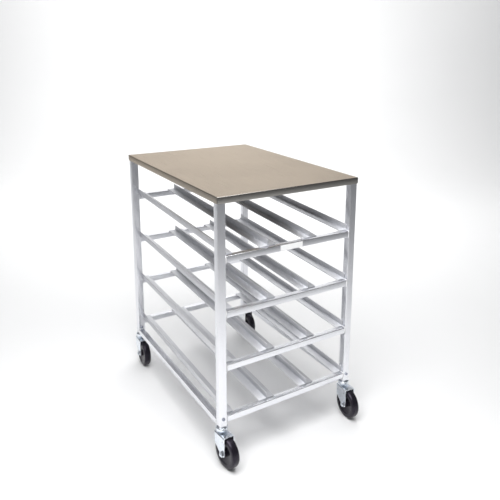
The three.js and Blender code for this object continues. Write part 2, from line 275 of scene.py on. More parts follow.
def piece(name, part, material, body, nodes=(), sharp=40):
    """One object of the model, with its finish, the body that it rides on and the CAD nodes it stands for.

    Edges that turn by more than sharp degrees stay sharp.
    """
    mesh = bpy.data.meshes.new(name)
    mesh.from_pydata(part[0], [], part[1])
    work = bmesh.new()
    work.from_mesh(mesh)
    bmesh.ops.recalc_face_normals(work, faces=work.faces)
    work.to_mesh(mesh)
    work.free()
    mesh.shade_smooth()
    mesh.set_sharp_from_angle(angle=math.radians(sharp))
    mesh.materials.append(material)
    made = linked(bpy.data.objects.new(name, mesh))
    if nodes:
        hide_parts(*nodes)
    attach(made, body)
    return made


# ---------------------------------------------------------------- materials


class Nodes:
    """A small helper to write a material's node tree down in a few lines."""

    def __init__(self, name):
        self.material = bpy.data.materials.new(name)
        self.material.use_nodes = True
        self.tree = self.material.node_tree
        self.shader = self.tree.nodes["Principled BSDF"]

    def add(self, kind, inputs=None, **settings):
        """A new node. Its inputs are other nodes' sockets or plain values."""
        made = self.tree.nodes.new(kind)
        for key, value in settings.items():
            setattr(made, key, value)
        for key, value in (inputs or {}).items():
            self.put(made.inputs[key], value)
        return made

    def put(self, socket, value):
        """A link from another node's socket, or a plain value on the socket itself."""
        if isinstance(value, bpy.types.NodeSocket):
            self.tree.links.new(value, socket)
        else:
            socket.default_value = value

    def noise(self, scale, stretch=(1, 1, 1), detail=3.0, rough=0.5):
        """Noise over the piece's own coordinates, between 0 and 1, stretched by a scale along each axis."""
        place = self.add("ShaderNodeTexCoord").outputs["Object"]
        mapped = self.add("ShaderNodeMapping", {"Vector": place, "Scale": stretch}).outputs["Vector"]
        inputs = {"Vector": mapped, "Scale": scale, "Detail": detail, "Roughness": rough}
        return self.add("ShaderNodeTexNoise", inputs).outputs["Fac"]

    def ranged(self, value, low, high, out_low, out_high):
        """A value's range from low to high, taken to another range and held there."""
        inputs = {"Value": value, "From Min": low, "From Max": high, "To Min": out_low, "To Max": out_high}
        return self.add("ShaderNodeMapRange", inputs).outputs["Result"]

    def maths(self, operation, a, b):
        """Two values added, subtracted or multiplied."""
        made = self.add("ShaderNodeMath", operation=operation)
        self.put(made.inputs[0], a)
        self.put(made.inputs[1], b)
        return made.outputs[0]

    def blended(self, factor, a, b):
        """Colour a where the factor is 0 and colour b where it is 1."""
        made = self.add("ShaderNodeMix", data_type="RGBA")
        factor_in, a_in, b_in, colour_out = 0, 6, 7, 2      # a Mix node's colour sockets
        self.put(made.inputs[factor_in], factor)
        self.put(made.inputs[a_in], a)
        self.put(made.inputs[b_in], b)
        return made.outputs[colour_out]

    def patches(self, noise, a, b):
        """Two colours in soft patches, where a noise is low and where it is high."""
        return self.blended(self.ranged(noise, 0.3, 0.7, 0.0, 1.0), a, b)

    def edges(self, low=0.52, high=0.60):
        """1 along outer edges and 0 on flat faces."""
        pointiness = self.add("ShaderNodeNewGeometry").outputs["Pointiness"]
        return self.ranged(pointiness, low, high, 0.0, 1.0)

    def bump(self, height, strength, distance, under=None):
        """A normal bumped by a height, on top of another normal where there is one."""
        inputs = {"Height": height, "Strength": strength, "Distance": distance}
        if under is not None:
            inputs["Normal"] = under
        return self.add("ShaderNodeBump", inputs).outputs["Normal"]

    def finish(self, colour, roughness, normal, **constants):
        """The finished material. Constants go on the shader's own sockets, such as Metallic=1.0."""
        self.put(self.shader.inputs["Base Color"], colour)
        self.put(self.shader.inputs["Roughness"], roughness)
        self.put(self.shader.inputs["Normal"], normal)
        for key, value in constants.items():
            self.shader.inputs[key.replace("_", " ")].default_value = value
        return self.material


def rgb(red, green, blue):
    return (red, green, blue, 1.0)


ALONG, ACROSS = 8, 900         # a drawn grain's noise scales
GRAIN = {"x": (ALONG, ACROSS, ACROSS), "y": (ACROSS, ALONG, ACROSS), "z": (ACROSS, ACROSS, ALONG)}


def metal_finish(name, light, dark, worn, rough, grain, grain_depth):
    """A metal with a drawn or brushed grain, cloudy patches, and brighter, smoother edges."""
    nodes = Nodes(name)
    lines = nodes.noise(1.0, GRAIN[grain], detail=2.0)
    clouds = nodes.noise(9.0, detail=4.0, rough=0.6)
    specks = nodes.noise(160.0, detail=2.0)
    edge = nodes.edges()
    tone = nodes.blended(nodes.ranged(clouds, 0.35, 0.65, 0.0, 1.0), light, dark)
    streaked = nodes.blended(nodes.ranged(lines, 0.35, 0.65, 0.0, 0.25), tone, dark)
    colour = nodes.blended(edge, streaked, worn)
    base = nodes.ranged(lines, 0.3, 0.7, rough - 0.04, rough + 0.05)
    cloudy = nodes.maths("ADD", base, nodes.ranged(clouds, 0.3, 0.7, -0.03, 0.04))
    speckled = nodes.maths("ADD", cloudy, nodes.ranged(specks, 0.45, 0.7, 0.0, 0.03))
    roughness = nodes.maths("SUBTRACT", speckled, nodes.maths("MULTIPLY", edge, 0.08))
    grainy = nodes.bump(lines, 0.25, grain_depth)
    normal = nodes.bump(specks, 0.06, grain_depth, grainy)
    return nodes.finish(colour, roughness, normal, Metallic=1.0)


def aluminium(axis):
    """The tubes' mill finish, drawn along an axis."""
    return metal_finish(
        f"mill_aluminium_{axis}",
        light=rgb(0.70, 0.72, 0.78), dark=rgb(0.63, 0.65, 0.71), worn=rgb(0.88, 0.88, 0.90),
        rough=0.26, grain=axis, grain_depth=0.04 * MM,
    )


def extruded_aluminium():
    """The rails' duller finish, as it comes from the extrusion die."""
    return metal_finish(
        "extruded_aluminium",
        light=rgb(0.62, 0.635, 0.67), dark=rgb(0.57, 0.585, 0.62), worn=rgb(0.76, 0.76, 0.78),
        rough=0.60, grain="y", grain_depth=0.03 * MM,
    )


def stainless():
    """Stainless sheet brushed along its length, with coarser streaks and faint wipe marks."""
    nodes = Nodes("brushed_stainless")
    lines = nodes.noise(1.0, (1300, 6, 1300), detail=3.0)
    coarse = nodes.noise(1.0, (240, 2.5, 240), detail=2.0)
    clouds = nodes.noise(2.2, detail=2.0, rough=0.5)
    edge = nodes.edges()
    cloudy = nodes.ranged(clouds, 0.35, 0.7, 0.0, 1.0)
    tone = nodes.blended(cloudy, rgb(0.275, 0.262, 0.248), rgb(0.25, 0.238, 0.225))
    streaked = nodes.blended(nodes.ranged(lines, 0.35, 0.65, 0.0, 0.45), tone, rgb(0.21, 0.20, 0.19))
    colour = nodes.blended(edge, streaked, rgb(0.36, 0.35, 0.33))
    base = nodes.ranged(lines, 0.3, 0.7, 0.20, 0.30)
    smudged = nodes.maths("ADD", base, nodes.ranged(clouds, 0.35, 0.7, -0.02, 0.03))
    grainy = nodes.bump(lines, 0.3, 0.04 * MM)
    normal = nodes.bump(coarse, 0.06, 0.1 * MM, grainy)
    return nodes.finish(colour, smudged, normal, Metallic=1.0, Specular_Tint=rgb(1.0, 0.88, 0.75))


def zinc():
    """Bright zinc plate: a cool, slightly mottled metal with a soft crystalline spangle."""
    nodes = Nodes("bright_zinc")
    place = nodes.add("ShaderNodeTexCoord").outputs["Object"]
    spangle = nodes.add("ShaderNodeTexVoronoi", {"Vector": place, "Scale": 260.0}, feature="F1")
    clouds = nodes.noise(45.0, detail=4.0, rough=0.6)
    edge = nodes.edges()
    cells = nodes.ranged(spangle.outputs["Distance"], 0.1, 0.6, 0.0, 0.5)
    tone = nodes.patches(clouds, rgb(0.86, 0.90, 0.95), rgb(0.68, 0.73, 0.80))
    mottled = nodes.blended(cells, tone, rgb(0.76, 0.80, 0.86))
    colour = nodes.blended(edge, mottled, rgb(0.95, 0.96, 0.98))
    roughness = nodes.maths(
        "ADD",
        nodes.ranged(clouds, 0.3, 0.7, 0.16, 0.27),
        nodes.ranged(spangle.outputs["Distance"], 0.1, 0.6, 0.0, 0.05),
    )
    normal = nodes.bump(clouds, 0.15, 0.2 * MM)
    return nodes.finish(colour, roughness, normal, Metallic=1.0)


def bolt_steel():
    """Dull, dark plated steel."""
    nodes = Nodes("dark_plated_steel")
    clouds = nodes.noise(180.0, detail=3.0)
    edge = nodes.edges()
    tone = nodes.patches(clouds, rgb(0.34, 0.36, 0.43), rgb(0.22, 0.24, 0.30))
    colour = nodes.blended(edge, tone, rgb(0.55, 0.57, 0.63))
    roughness = nodes.ranged(clouds, 0.3, 0.7, 0.30, 0.46)
    return nodes.finish(colour, roughness, nodes.bump(clouds, 0.2, 0.1 * MM), Metallic=1.0)


def weld_metal():
    """Bright, rippled bead metal, rougher than the tubes."""
    nodes = Nodes("weld_metal")
    clouds = nodes.noise(420.0, detail=4.0, rough=0.65)
    tone = nodes.patches(clouds, rgb(0.92, 0.92, 0.93), rgb(0.78, 0.78, 0.80))
    colour = nodes.blended(nodes.edges(), tone, rgb(0.96, 0.96, 0.97))
    roughness = nodes.ranged(clouds, 0.3, 0.7, 0.32, 0.46)
    return nodes.finish(colour, roughness, nodes.bump(clouds, 0.4, 0.2 * MM), Metallic=1.0)


def wheel_black():
    """Moulded black wheel, scuffed and dusty grey on its outer edges."""
    nodes = Nodes("moulded_black_wheel")
    pebble = nodes.noise(900.0, detail=3.0, rough=0.6)
    clouds = nodes.noise(60.0, detail=4.0, rough=0.6)
    scuffs = nodes.noise(38.0, detail=6.0, rough=0.7)
    edge = nodes.edges(0.50, 0.56)
    tone = nodes.patches(clouds, rgb(0.006, 0.005, 0.008), rgb(0.011, 0.010, 0.014))
    dusty = nodes.maths("MULTIPLY", edge, nodes.ranged(scuffs, 0.35, 0.65, 0.35, 1.0))
    colour = nodes.blended(dusty, tone, rgb(0.042, 0.038, 0.050))
    pebbled = nodes.ranged(pebble, 0.3, 0.7, 0.20, 0.30)
    roughness = nodes.maths("ADD", pebbled, nodes.maths("MULTIPLY", dusty, 0.15))
    normal = nodes.bump(pebble, 0.25, 0.1 * MM)
    return nodes.finish(
        colour, roughness, normal, Specular_IOR_Level=0.32, Specular_Tint=rgb(0.88, 0.80, 1.0)
    )


def label_white():
    """Matt white stock with a faint fibre."""
    nodes = Nodes("label_white")
    fibres = nodes.noise(700.0, detail=3.0)
    clouds = nodes.noise(30.0, detail=3.0)
    tone = nodes.patches(clouds, rgb(0.95, 0.95, 0.95), rgb(0.92, 0.92, 0.92))
    roughness = nodes.ranged(fibres, 0.3, 0.7, 0.42, 0.55)
    return nodes.finish(tone, roughness, nodes.bump(fibres, 0.15, 0.03 * MM), Metallic=0.0)


ALUMINIUM = {axis: aluminium(axis) for axis in "xyz"}
RAIL_ALUMINIUM = extruded_aluminium()
STAINLESS = stainless()
ZINC = zinc()
BOLT_STEEL = bolt_steel()
WELD = weld_metal()
WHEEL_BLACK = wheel_black()
LABEL_WHITE = label_white()

# ---------------------------------------------------------------- the frame's tubes

AXES = {"x": 0, "y": 1, "z": 2}


def tube(node, axis, wall, corner):
    """A square tube in a CAD tube's place, open at both ends, with its cut ends broken by a fine file."""
    low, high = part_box(node)
    along = AXES[axis]
    across = [i for i in range(3) if i != along]
    if axis == "y":
        across.reverse()      # so that the outline runs the same way round every axis
    centre = (low + high) / 2
    side = high[across[0]] - low[across[0]]

    def ring(size, radius, at):
        points = []
        for a, b in rounded_square(size, radius):
            point = centre.copy()
            point[across[0]] += a
            point[across[1]] += b
            point[along] = at
            points.append(point)
        return points

    start, end = low[along], high[along]
    filed_side, filed_corner = side - 2 * TUBE_EDGE, corner - TUBE_EDGE / 2
    inner, inner_corner = side - 2 * wall, max(corner - wall, TUBE_LEAST_CORNER)
    rings = [
        ring(filed_side, filed_corner, start),
        ring(side, corner, start + TUBE_EDGE),
        ring(side, corner, end - TUBE_EDGE),
        ring(filed_side, filed_corner, end),
        ring(inner, inner_corner, end),
        ring(inner, inner_corner, start),
    ]
    piece(f"{node}_tube", loft(rings, around=True), ALUMINIUM[axis], "root", [node], sharp=35)


for corner_name in CORNERS:
    tube(f"post_{corner_name}", "z", **POST)
for end_name in ("front", "back"):
    tube(f"top_tube_{end_name}", "x", **TOP_TUBE)
    for tier in TIERS:
        tube(f"tier_{tier}_{end_name}_bar", "x", **BAR)
for side_name in ("left", "right"):
    tube(f"top_tube_{side_name}", "y", **TOP_TUBE)
    tube(f"base_tube_{side_name}", "y", **BAR)

# ---------------------------------------------------------------- the rails


def rail_slope(tier):
    """How far the rails of a tier climb towards the back, as an angle."""
    front_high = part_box(f"tier_{tier}_front_bar")[1]
    back_low, back_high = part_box(f"tier_{tier}_back_bar")
    rail_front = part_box(f"tier_{tier}_middle_rail_left")[0].y
    return math.atan2(back_high.z - front_high.z, back_low.y - rail_front - GAP)


def rail(node, outline, at_x, tier):
    """An extruded rail along Y in its CAD node's place. The outline is in X and Z, from its lower middle."""
    low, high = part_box(node)
    slope = rail_slope(tier)
    start_y = low.y + RAIL_HEIGHT * math.sin(slope)
    length = (high.y - start_y) / math.cos(slope)
    place = Matrix.Translation((at_x, start_y, low.z)) @ Matrix.Rotation(slope, 4, "X")
    points = soften(outline, RAIL_CORNER, steps=2, closed=True)
    ends = inset(points, RAIL_EDGE)
    stations = ((0.0, ends), (RAIL_EDGE, points), (length - RAIL_EDGE, points), (length, ends))
    rings = [[place @ Vector((x, along, z)) for x, z in section] for along, section in stations]
    piece(f"{node}_section", loft(rings), RAIL_ALUMINIUM, "root", [node], sharp=50)


def middle_outline(node):
    """A middle rail's upside-down T, and the X of its middle."""
    low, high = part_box(node)
    flange, fin = (high.x - low.x) / 2, RAIL_THICKNESS / 2
    right = [
        (flange, 0), (flange, RAIL_THICKNESS), (fin + RAIL_ROOT, RAIL_THICKNESS),
        (fin, RAIL_THICKNESS + RAIL_ROOT), (fin, RAIL_HEIGHT),
    ]
    outline = right + [(-x, z) for x, z in reversed(right)]
    return outline, (low.x + high.x) / 2


def side_outline(node, side):
    """A side rail's L, and the X of its outer face.

    Side is -1 for a left rail, whose flange reaches towards +X, and 1 for a right one.
    """
    low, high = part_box(node)
    flange = high.x - low.x
    outline = [
        (0, 0), (flange, 0), (flange, RAIL_THICKNESS), (RAIL_THICKNESS + RAIL_ROOT, RAIL_THICKNESS),
        (RAIL_THICKNESS, RAIL_THICKNESS + RAIL_ROOT), (RAIL_THICKNESS, RAIL_HEIGHT), (0, RAIL_HEIGHT),
    ]
    if side > 0:
        return [(-x, z) for x, z in reversed(outline)], high.x
    return outline, low.x


for tier in TIERS:
    for side_name, side in (("left", -1), ("right", 1)):
        middle_node = f"tier_{tier}_middle_rail_{side_name}"
        rail(middle_node, *middle_outline(middle_node), tier)
        side_node = f"tier_{tier}_side_rail_{side_name}"
        rail(side_node, *side_outline(side_node, side), tier)

# ---------------------------------------------------------------- the top panel


def panel_ring(low, high, inset_by, height, corner_rise=0.0):
    """A rectangle with small round corners. Near each corner its height rises, as the lip's cut does."""
    points = []
    x0, x1, y0, y1 = low.x + inset_by, high.x - inset_by, low.y + inset_by, high.y - inset_by
    corner = max(PANEL_UPRIGHT_CORNER - inset_by, PANEL_LEAST_CORNER)
    cut = PANEL_CORNER_CUT
    for quarter, (cx, cy) in enumerate(((x1, y1), (x0, y1), (x0, y0), (x1, y0))):
        inward = (-1 if cx == x1 else 1, -1 if cy == y1 else 1)
        arc = []
        for k in range(PANEL_CORNER_STEPS + 1):
            angle = (quarter + k / PANEL_CORNER_STEPS) * math.pi / 2
            arc.append((cx + inward[0] * corner + corner * math.cos(angle),
                        cy + inward[1] * corner + corner * math.sin(angle)))
        first, last = arc[0], arc[-1]
        before = (first[0], cy + inward[1] * cut) if quarter % 2 == 0 else (cx + inward[0] * cut, first[1])
        after = (cx + inward[0] * cut, last[1]) if quarter % 2 == 0 else (last[0], cy + inward[1] * cut)
        for x, y in [before, *arc, after]:
            from_corner = abs(x - cx) + abs(y - cy)
            rise = corner_rise * max(0.0, 1 - from_corner / cut)
            points.append((x, y, height + rise))
    return points


def top_panel():
    """The pan: its top, the outside of its lip, the lip's lower edge, then its inside."""
    low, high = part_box("top_panel")
    top, bottom = high.z, low.z
    rings = []

    def add(inset_by, height, corner_rise=0.0):
        rings.append(panel_ring(low, high, inset_by, height, corner_rise))

    def bend(depth, steps):
        """One side of the bend, depth metres inside the outer one."""
        radius = PANEL_BEND - depth
        for k in steps:
            angle = k / PANEL_BEND_STEPS * math.pi / 2
            add(depth + radius * (1 - math.sin(angle)), top - depth - radius * (1 - math.cos(angle)))

    outwards = range(PANEL_BEND_STEPS + 1)
    flat_start = PANEL_BEND + PANEL_FLAT_START
    add(flat_start, top)
    bend(0.0, outwards)
    add(0, top - flat_start)
    add(0, bottom + PANEL_EDGE, PANEL_CORNER_CUT)
    add(PANEL_EDGE, bottom, PANEL_CORNER_CUT)
    add(PANEL_SHEET - PANEL_EDGE, bottom, PANEL_CORNER_CUT)
    add(PANEL_SHEET, bottom + PANEL_EDGE, PANEL_CORNER_CUT)
    add(PANEL_SHEET, top - flat_start)
    bend(PANEL_SHEET, reversed(outwards))
    add(flat_start, top - PANEL_SHEET)
    piece("top_panel_pan", loft(rings), STAINLESS, "root", ["top_panel"], sharp=50)


top_panel()


def label_plate():
    """A blank plate with round corners, thin enough to look like a stuck-on label."""
    low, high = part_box("label_plate")
    outline = [(low.x, low.z), (high.x, low.z), (high.x, high.z), (low.x, high.z)]
    points = soften(outline, LABEL_CORNER, steps=5, closed=True)
    stations = ((low.y, inset(points, LABEL_EDGE)), (low.y + LABEL_EDGE, points), (high.y, points))
    rings = [[(p.x, y, p.y) for p in section] for y, section in stations]
    piece("label_plate_blank", loft(rings), LABEL_WHITE, "root", ["label_plate"])


label_plate()

# ---------------------------------------------------------------- welds


def bead(start, end, radius):
    """A straight weld bead between two points, laid in overlapping ripples and thinner at its ends."""
    start, end = Vector(start), Vector(end)
    direction = (end - start).normalized()
    side = direction.orthogonal().normalized()
    up = direction.cross(side)
    per_ripple = BEAD_RINGS_PER_RIPPLE
    count = max(per_ripple, round((end - start).length / BEAD_RIPPLE) * per_ripple)
    rings = []
    for k in range(count + 1):
        centre = start.lerp(end, k / count)
        ripple = BEAD_SWELL * math.cos(2 * math.pi * k / per_ripple)
        swell = 1.0 + ripple + random.uniform(-BEAD_UNEVEN, BEAD_UNEVEN)
        swell *= min(1.0, BEAD_END + BEAD_TAPER * min(k, count - k) / count)
        ring = []
        for i in range(BEAD_SIDES):
            angle = 2 * math.pi * i / BEAD_SIDES
            ring.append(centre + (side * math.cos(angle) + up * math.sin(angle)) * radius * swell)
        rings.append(ring)
    return loft(rings)


def bar_welds():
    """The welds round each end of a bar. The one on its outer face runs a little past the bar's corners."""
    parts = []
    for tier in TIERS:
        for end_name in ("front", "back"):
            low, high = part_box(f"tier_{tier}_{end_name}_bar")
            outer_y, inner_y, outward = (low.y, high.y, -1) if end_name == "front" else (high.y, low.y, 1)
            face_y = outer_y - outward * BAR_WELD_SUNK
            back_y = inner_y - outward * BAR_WELD_SUNK / 2
            for x in (low.x + GAP, high.x - GAP):
                foot, head = low.z - BAR_WELD_PAST, high.z + BAR_WELD_PAST
                parts.append(bead((x, face_y, foot), (x, face_y, head), BAR_WELD))
                parts.append(bead((x, back_y, low.z), (x, back_y, high.z), BAR_SMALL_WELD))
                for z in (low.z, high.z):
                    start, end = (x, low.y + WELD_SHORT, z), (x, high.y - WELD_SHORT, z)
                    parts.append(bead(start, end, BAR_SMALL_WELD))
    piece("bar_welds", joined(*parts), WELD, "root", sharp=180)


def side_tube_welds():
    """The welds where the base tubes and the top tubes meet the posts. None stands above a top tube."""
    parts = []
    for node in ("base_tube_left", "base_tube_right", "top_tube_left", "top_tube_right"):
        low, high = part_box(node)
        heights = (low.z,) if node.startswith("top") else (low.z, high.z)
        for y in (low.y, high.y):
            for x in (low.x + TUBE_WELD_SUNK, high.x):
                parts.append(bead((x, y, low.z + WELD_SHORT), (x, y, high.z - WELD_SHORT), TUBE_WELD))
            for z in heights:
                parts.append(bead((low.x + WELD_SHORT, y, z), (high.x - WELD_SHORT, y, z), TUBE_WELD))
    piece("side_tube_welds", joined(*parts), WELD, "root", sharp=180)


def rail_welds():
    """Short welds along each rail where it sits on its front and back bars."""
    parts = []
    for tier in TIERS:
        front_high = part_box(f"tier_{tier}_front_bar")[1]
        back_low, back_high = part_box(f"tier_{tier}_back_bar")
        slope = rail_slope(tier)
        for kind in ("middle", "side"):
            for side_name in ("left", "right"):
                low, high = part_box(f"tier_{tier}_{kind}_rail_{side_name}")
                edges = []
                if kind == "middle" or side_name == "right":
                    edges.append(low.x)
                if kind == "middle" or side_name == "left":
                    edges.append(high.x)
                front = (low.y + RAIL_WELD_SHORT, front_high.y - RAIL_WELD_SHORT)
                back = (back_low.y + RAIL_WELD_SHORT, high.y - RAIL_WELD_SHORT)
                lift = math.tan(slope) * (high.y - back_low.y) / 2
                for x in edges:
                    z = front_high.z + GAP
                    parts.append(bead((x, front[0], z), (x, front[1], z), RAIL_WELD))
                    z = back_high.z + GAP
                    parts.append(bead((x, back[0], z), (x, back[1], z + lift), RAIL_WELD))
    piece("rail_welds", joined(*parts), WELD, "root", sharp=180)


bar_welds()
side_tube_welds()
rail_welds()

# ---------------------------------------------------------------- the casters
# In its own frame a caster's swivel axis is Z, its axle lies along X, and the wheel trails towards -Y.

TO_RIGHT = Matrix.Rotation(math.pi / 2, 4, "Y")
TO_LEFT = Matrix.Rotation(-math.pi / 2, 4, "Y")
TO_FRONT = Matrix.Rotation(math.pi / 2, 4, "X")


def hex_head(across, height):
    """A hexagonal head up from z = 0, its upper corners chamfered to a circle."""
    flat = across / 2
    circle = flat * HEX_TOP_CIRCLE
    rows = [[], [], [], []]
    for i in range(HEX_STEPS):
        angle = 2 * math.pi * i / HEX_STEPS
        nearest = round(angle / (math.pi / 3)) * math.pi / 3
        radius = flat / math.cos(angle - nearest)
        drop = (radius - circle) * math.tan(HEX_CHAMFER)
        levels = ((radius, 0.0), (radius, height - drop), (circle, height), (circle * HEX_FACE, height))
        for row, (reach, z) in zip(rows, levels):
            row.append((reach * math.cos(angle), reach * math.sin(angle), z))
    return loft(rows)


def threaded_end(radius, length):
    """The end of a threaded shank up from z = 0, with its thread as rings and its tip chamfered."""
    root, tip = radius * THREAD_ROOT, radius * THREAD_TIP
    profile = [(0.0, 0.0)]
    turns = max(1, int(length / THREAD_PITCH))
    for k in range(turns):
        profile.append((root, k * THREAD_PITCH))
        profile.append((radius, (k + 0.5) * THREAD_PITCH))
    profile += [(root, turns * THREAD_PITCH), (tip, length), (0.0, length)]
    return turned(profile, steps=32)


def fork_leg_range(z, axle_z, trail):
    """The front and back of a fork's leg at a height, in its own Y."""
    reach = math.sqrt(max(0.0, FORK_BOSS ** 2 - (z - axle_z) ** 2))
    front = -FORK_FRONT if z >= axle_z else -trail - reach
    # The slanting back edge runs from the kink down to a tangent on the round boss
    away = Vector((FORK_LEG_BACK + trail, FORK_LEG_KINK - axle_z))
    angle = math.atan2(away.y, away.x) - math.acos(FORK_BOSS / away.length)
    touch = Vector((-trail + FORK_BOSS * math.cos(angle), axle_z + FORK_BOSS * math.sin(angle)))
    if z >= FORK_LEG_KINK:
        return front, FORK_LEG_BACK
    if z <= touch.y:
        return front, -trail + reach
    share = (z - touch.y) / (FORK_LEG_KINK - touch.y)
    return front, touch.x + share * (FORK_LEG_BACK - touch.x)


def fork_sheet(axle_z, trail):
    """The bent sheet, as rows across its width. Each row is a thin rounded strip from front to back."""
    rows = []
    foot = axle_z - FORK_BOSS
    bend_z = FORK_PLATE_TOP - FORK_BEND
    boss_angles = (12, 24, 38, 52, 66, 80, 90)      # degrees up from the boss's lowest point
    heights = [axle_z - FORK_BOSS * math.cos(math.radians(angle)) for angle in boss_angles]
    heights += [axle_z + (bend_z - axle_z) * (k + 1) / FORK_LEG_ROWS for k in range(FORK_LEG_ROWS)]
    heights = sorted(set(heights + [FORK_LEG_KINK, foot + FORK_FOOT_ROW]))
    for z in heights:
        rows.append((Vector((-FORK_HALF_WIDTH, z)), Vector((-1, 0)), fork_leg_range(z, axle_z, trail)))
    flat = FORK_HALF_WIDTH - FORK_BEND
    for k in range(1, FORK_BEND_STEPS + 1):
        angle = math.pi - k / FORK_BEND_STEPS * math.pi / 2
        out = Vector((math.cos(angle), math.sin(angle)))
        rows.append((Vector((-flat, bend_z)) + out * FORK_BEND, out, None))
    for k in range(1, FORK_FLAT_STEPS + 1):
        at_x = -flat + flat * k / FORK_FLAT_STEPS
        rows.append((Vector((at_x, FORK_PLATE_TOP)), Vector((0, 1)), None))
    round_back = FORK_BACK - FORK_LEG_BACK
    left = []
    for point, out, reach in rows:
        if reach is None:
            beyond = max(0.0, abs(point.x) - (FORK_HALF_WIDTH - round_back))
            back = FORK_LEG_BACK + math.sqrt(max(0.0, round_back ** 2 - beyond ** 2))
            reach = (-FORK_FRONT, back)
        left.append((point, out, reach))
    right = [(Vector((-p.x, p.y)), Vector((-n.x, n.y)), reach) for p, n, reach in reversed(left[:-1])]
    rings = []
    for point, out, (front, back) in left + right:
        strip = [(front, 0), (back, 0), (back, FORK_SHEET), (front, FORK_SHEET)]
        ring = []
        for y, depth in soften(strip, FORK_SHEET_CORNER, closed=True):
            at = point - out * depth
            ring.append((at.x, y, at.y))
        rings.append(ring)
    return loft(rings)


def bearing_race():
    """The ring on top of the fork's plate, with its pressed foot and rounded shoulder."""
    profile = soften([
        (KINGPIN + GAP, FORK_PLATE_TOP - 1 * MM),
        (RACE_RADIUS + 1.2 * MM, FORK_PLATE_TOP - 1 * MM),
        (RACE_RADIUS + 0.9 * MM, FORK_PLATE_TOP + 0.4 * MM),
        (RACE_RADIUS, FORK_PLATE_TOP + 1.4 * MM),
        (RACE_RADIUS, RACE_TOP - 2.6 * MM),
        (RACE_RADIUS - 1.0 * MM, RACE_TOP - 0.8 * MM),
        (RACE_RADIUS - 3.4 * MM, RACE_TOP),
        (KINGPIN + GAP, RACE_TOP),
    ], RACE_CORNER, closed=True)
    return turned(profile, TURNED_STEPS)


def cylinder(radius, start, end, steps):
    """A plain round bar about Z."""
    return turned([(0, start), (radius, start), (radius, end), (0, end)], steps)


def caster_fork(prefix, place, body, axle_z, trail):
    """The bent sheet with its race, and a small hole through both legs above the axle."""
    part = moved(joined(fork_sheet(axle_z, trail), bearing_race()), place)
    fork = piece(f"{prefix}_fork_pressing", part, ZINC, body, [f"{prefix}_fork"], sharp=45)
    reach = 1.5 * FORK_HALF_WIDTH      # well past both legs
    across = Matrix.Translation((0, -trail, axle_z + GUARD_HOLE_ABOVE_AXLE)) @ TO_RIGHT
    cutter_verts, cutter_faces = moved(cylinder(GUARD_HOLE, -reach, reach, steps=20), place @ across)
    cutter_mesh = bpy.data.meshes.new("cutter")
    cutter_mesh.from_pydata(cutter_verts, [], cutter_faces)
    cutter = linked(bpy.data.objects.new("cutter", cutter_mesh))
    hole = fork.modifiers.new("guard_holes", "BOOLEAN")
    hole.object = cutter
    hole.solver = "EXACT"
    bpy.context.view_layer.update()
    depsgraph = bpy.context.evaluated_depsgraph_get()
    fork.data = bpy.data.meshes.new_from_object(fork.evaluated_get(depsgraph))
    fork.modifiers.clear()
    bpy.data.objects.remove(cutter)


def caster_stem(prefix, place, post_bottom):
    """The collar, the stem up in the post above it, and the kingpin below it with its rivet head."""
    low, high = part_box(f"{prefix}_stem")
    collar_bottom = RACE_TOP + GAP
    collar_top = post_bottom - GAP
    rivet_top = FORK_PLATE_TOP - FORK_SHEET - GAP
    profile = soften([
        (0, low.z),
        (RIVET_HEAD * 0.8, low.z),
        (RIVET_HEAD, rivet_top - 1 * MM),
        (RIVET_HEAD, rivet_top),
        (KINGPIN, rivet_top),
        (KINGPIN, collar_bottom),
        (COLLAR_RADIUS - 3 * MM, collar_bottom),
        (COLLAR_RADIUS - 0.5 * MM, collar_bottom + 1.4 * MM),
        (COLLAR_RADIUS, collar_bottom + 4 * MM),
        (COLLAR_RADIUS, collar_top - 2.2 * MM),
        (COLLAR_RADIUS - 1.6 * MM, collar_top),
        (STEM_RADIUS, collar_top),
        (STEM_RADIUS, high.z - 2 * MM),
        (STEM_RADIUS - 2 * MM, high.z),
        (0, high.z),
    ], STEM_CORNER)
    part = moved(turned(profile, TURNED_STEPS), place)
    piece(f"{prefix}_stem_and_collar", part, ZINC, "root", [f"{prefix}_stem"])


def caster_wheel(prefix, place, body, radius):
    """A solid wheel: a hub, a dished web and a rim with rounded shoulders."""
    shoulder = WHEEL_SHOULDER
    half = [
        (WHEEL_BORE, WHEEL_HUB_HALF_WIDTH),
        (WHEEL_HUB - 1.2 * MM, WHEEL_HUB_HALF_WIDTH),
        (WHEEL_HUB, WHEEL_HUB_HALF_WIDTH - 1.2 * MM),
        (WHEEL_HUB + 0.6 * MM, WHEEL_WEB_HALF),
        (WHEEL_DISH, WHEEL_HALF_WIDTH - 2.2 * MM),
        (WHEEL_DISH + 2 * MM, WHEEL_HALF_WIDTH),
        (radius - shoulder - 2.5 * MM, WHEEL_HALF_WIDTH),
        (radius - shoulder * 0.42, WHEEL_HALF_WIDTH - shoulder * 0.30),
        (radius - 0.25 * MM, WHEEL_HALF_WIDTH - shoulder - 1.5 * MM),
        (radius, 0.0),
    ]
    other = [(r, -z) for r, z in reversed(half[:-1])]
    profile = soften(half + other, WHEEL_CORNER, steps=4, closed=True)
    part = moved(turned(profile, WHEEL_STEPS), place @ TO_RIGHT)
    piece(f"{prefix}_wheel_moulding", part, WHEEL_BLACK, body, [f"{prefix}_wheel"])


